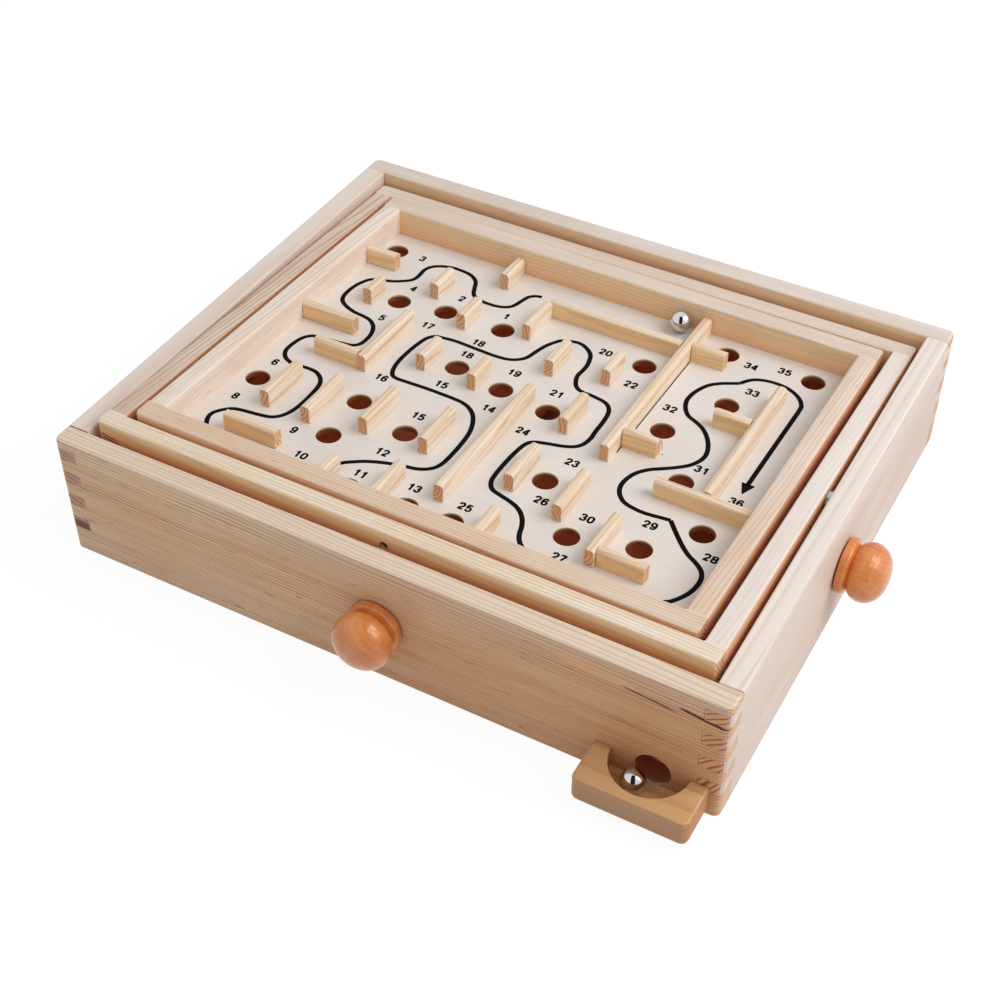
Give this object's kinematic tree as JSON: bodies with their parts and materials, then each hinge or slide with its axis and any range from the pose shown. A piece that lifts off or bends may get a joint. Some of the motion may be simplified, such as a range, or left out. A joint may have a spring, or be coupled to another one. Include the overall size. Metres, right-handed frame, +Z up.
{
  "type": "wooden ball maze",
  "caption": "Tilting wooden maze game: a walled tray with drop holes rocks both ways in a box, turned by knobs, and balls roll out into a cup.",
  "frame": {"origin": "on the table, under the middle of the whole outline, knobs and cup included", "axes": "+X along the long front towards the side with a knob, +Y from the front with the cup to the back, +Z up"},
  "size_m": [0.32, 0.27, 0.0663],
  "materials": {
    "box_pine": "clear satin lacquer on pine",
    "frame_pine": "smooth pale pine",
    "strip_pine": "smooth pale pine",
    "cup_wood": "clear satin lacquer",
    "painted_board": "pale painted board",
    "floor_plywood": "plain plywood",
    "knob_lacquer": "glossy honey lacquer on turned wood",
    "polished_steel": "polished",
    "wire_steel": "bright wire",
    "cotton_cord": "waxed cotton"
  },
  "bodies": {
    "box": {"front_wall": "box_pine", "back_wall": "box_pine", "left_wall": "box_pine", "right_wall": "box_pine", "sloping_floor": "floor_plywood", "right_shaft_post": "strip_pine", "catch_cup": "cup_wood", "front_guide_eye": "wire_steel", "back_guide_eye": "wire_steel", "left_guide_eye": "wire_steel", "right_guide_eye": "wire_steel", "left_frame_pin": "wire_steel", "right_frame_pin": "wire_steel", "tray_cord": "cotton_cord", "frame_cord": "cotton_cord"},
    "middle_frame": {"middle_frame_front_rail": "frame_pine", "middle_frame_back_rail": "frame_pine", "middle_frame_left_rail": "frame_pine", "middle_frame_right_rail": "frame_pine", "front_tray_pin": "wire_steel", "back_tray_pin": "wire_steel", "frame_cord_spring": "wire_steel"},
    "tray": {"tray_front_rail": "frame_pine", "tray_back_rail": "frame_pine", "tray_left_rail": "frame_pine", "tray_right_rail": "frame_pine", "maze_board": "painted_board", "tray_cord_spring": "wire_steel", "maze_strip_back_left": "strip_pine", "maze_strip_2": "strip_pine", "maze_strip_left_rail_back": "strip_pine", "maze_strip_4": "strip_pine", "maze_strip_5": "strip_pine", "maze_strip_left_rail_middle": "strip_pine", "maze_corner_left": "strip_pine", "maze_strip_8": "strip_pine", "maze_strip_9": "strip_pine", "maze_strip_10": "strip_pine", "maze_strip_11": "strip_pine", "maze_strip_12": "strip_pine", "maze_strip_13": "strip_pine", "maze_strip_14": "strip_pine", "maze_strip_front_left": "strip_pine", "maze_strip_front_middle": "strip_pine", "maze_strip_front_right": "strip_pine", "maze_strip_long_middle": "strip_pine", "maze_strip_19": "strip_pine", "maze_strip_20": "strip_pine", "maze_corner_front_right": "strip_pine", "maze_branch_right": "strip_pine", "maze_branch_start": "strip_pine", "maze_strip_24": "strip_pine", "maze_strip_25": "strip_pine", "maze_strip_26": "strip_pine"},
    "front_knob": {"front_knob": "knob_lacquer", "front_shaft": "polished_steel"},
    "right_knob": {"right_knob": "knob_lacquer", "right_shaft": "polished_steel"},
    "start_ball": {"start_ball": "polished_steel"},
    "caught_ball": {"caught_ball": "polished_steel"}
  },
  "joints": [
    {"name": "frame_tilt", "type": "hinge", "parent": "box", "child": "middle_frame", "pos_m": [-0.00995, 0.01, 0.053], "axis": [1, 0, 0], "range_deg": [-2.1, 6.9], "deforming": ["frame_cord"]},
    {"name": "tray_tilt", "type": "hinge", "parent": "middle_frame", "child": "tray", "pos_m": [-0.00995, 0.01, 0.053], "axis": [0, 0.9991, -0.0419], "range_deg": [-4.89, 4.11], "deforming": ["tray_cord"]},
    {"name": "front_knob_turn", "type": "hinge", "parent": "box", "child": "front_knob", "pos_m": [-0.00595, 0.01, 0.0298], "axis": [0, 1, 0], "range_deg": [-190, 160]},
    {"name": "right_knob_turn", "type": "hinge", "parent": "box", "child": "right_knob", "pos_m": [-0.00995, 0.0035, 0.0298], "axis": [1, 0, 0], "range_deg": [-235, 75]},
    {"name": "start_ball_roll", "type": "slide", "parent": "tray", "child": "start_ball", "axis": [1, -0.0003, -0.0068], "range_m": [-0.077, 0.003]},
    {"name": "caught_ball_roll", "type": "slide", "parent": "box", "child": "caught_ball", "axis": [1, 0, 0], "range_m": [-0.0045, 0.0115]}
  ],
  "couplings": [
    {"joint": "front_knob_turn", "follows": "tray_tilt", "ratio": 37.922},
    {"joint": "right_knob_turn", "follows": "frame_tilt", "ratio": -33.547}
  ]
}
